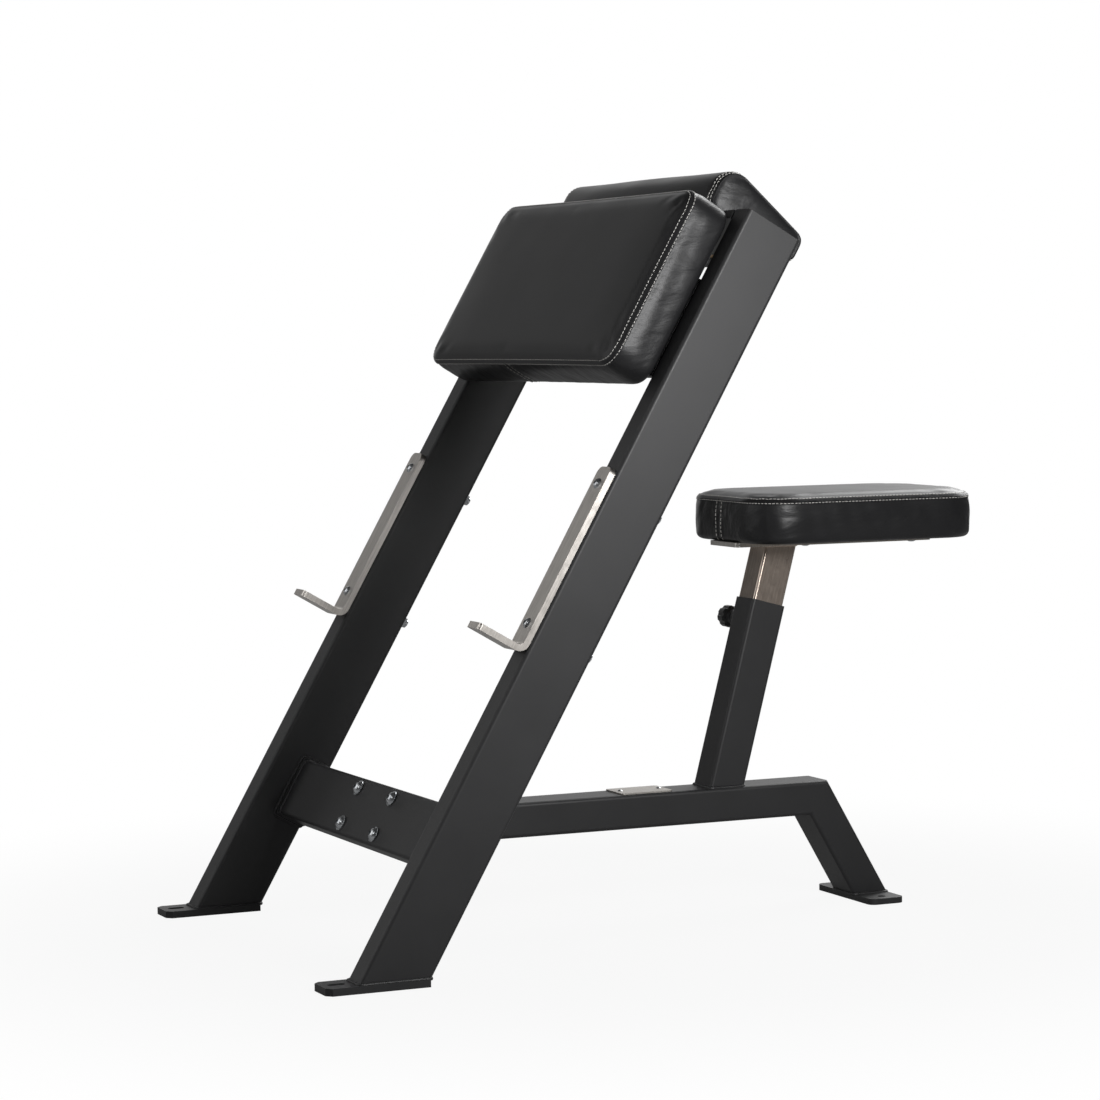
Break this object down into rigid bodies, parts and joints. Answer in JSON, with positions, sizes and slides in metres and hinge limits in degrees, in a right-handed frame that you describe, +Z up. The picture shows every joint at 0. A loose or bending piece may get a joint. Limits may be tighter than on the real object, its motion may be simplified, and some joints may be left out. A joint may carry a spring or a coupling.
{
  "type": "preacher curl bench",
  "caption": "Preacher curl bench: slanted uprights with a sloping arm pad, a half-round top pad and L-shaped bar hooks, and a low beam with a padded seat on a telescopic post held by a pull pin",
  "frame": {"origin": "floor level, under the middle of the bounding box", "axes": "X across the bench (+X is the seated user's left), Y from the foot plates in front to the seat behind, Z up"},
  "size_m": [0.65, 1.0198, 0.9662],
  "materials": {
    "black_powder_coat": "fine-textured matt black powder coat",
    "brushed_stainless": "brushed stainless steel",
    "seat_plate_steel": "mill-finish stainless steel",
    "zinc_plated_steel": "bright zinc plating",
    "black_plastic": "moulded black polyethylene",
    "black_knob_plastic": "moulded black nylon",
    "black_vinyl": "smooth-grained black vinyl over foam",
    "plywood": "raw birch plywood"
  },
  "bodies": {
    "frame": {"arm_pad_board": "plywood", "arm_pad_bolts": "zinc_plated_steel", "arm_pad_cushion": "black_vinyl", "arm_pad_plate": "black_powder_coat", "arm_pad_tnuts": "zinc_plated_steel", "bar_hook_left": "brushed_stainless", "bar_hook_right": "brushed_stainless", "cross_flange_left": "black_powder_coat", "cross_flange_right": "black_powder_coat", "cross_member": "black_powder_coat", "foot_plate_left": "black_powder_coat", "foot_plate_right": "black_powder_coat", "hook_nuts": "zinc_plated_steel", "hook_screws": "zinc_plated_steel", "hook_washers": "zinc_plated_steel", "joint_bolts": "zinc_plated_steel", "joint_nuts": "zinc_plated_steel", "joint_plate": "black_powder_coat", "joint_washers": "zinc_plated_steel", "main_beam": "black_powder_coat", "pin_housing": "black_powder_coat", "post_sleeve": "black_powder_coat", "rear_foot_plate": "black_powder_coat", "rear_leg": "black_powder_coat", "top_pad_board": "plywood", "top_pad_bolts": "zinc_plated_steel", "top_pad_cushion": "black_vinyl", "top_pad_tnuts": "zinc_plated_steel", "top_rail": "black_powder_coat", "upright_cap_left": "black_plastic", "upright_cap_right": "black_plastic", "upright_left": "black_powder_coat", "upright_right": "black_powder_coat", "wear_plate": "brushed_stainless", "wear_plate_screws": "brushed_stainless"},
    "seat": {"seat_post": "brushed_stainless", "post_plug": "black_plastic", "seat_plate": "seat_plate_steel", "seat_board": "plywood", "seat_cushion": "black_vinyl", "seat_tnuts": "zinc_plated_steel", "seat_screws": "zinc_plated_steel"},
    "pull_pin": {"pull_pin": "zinc_plated_steel", "pull_knob": "black_knob_plastic", "pin_spring": "zinc_plated_steel"}
  },
  "joints": [
    {"name": "seat_slide", "type": "slide", "parent": "frame", "child": "seat", "axis": [0, 0.2588, 0.9659], "range_m": [-0.05, 0.1]},
    {"name": "pin_pull", "type": "slide", "parent": "frame", "child": "pull_pin", "axis": [-1, 0, 0], "range_m": [0, 0.012], "stiffness_N_per_m": 900, "springref_m": -0.01, "deforming": ["pin_spring"]}
  ]
}
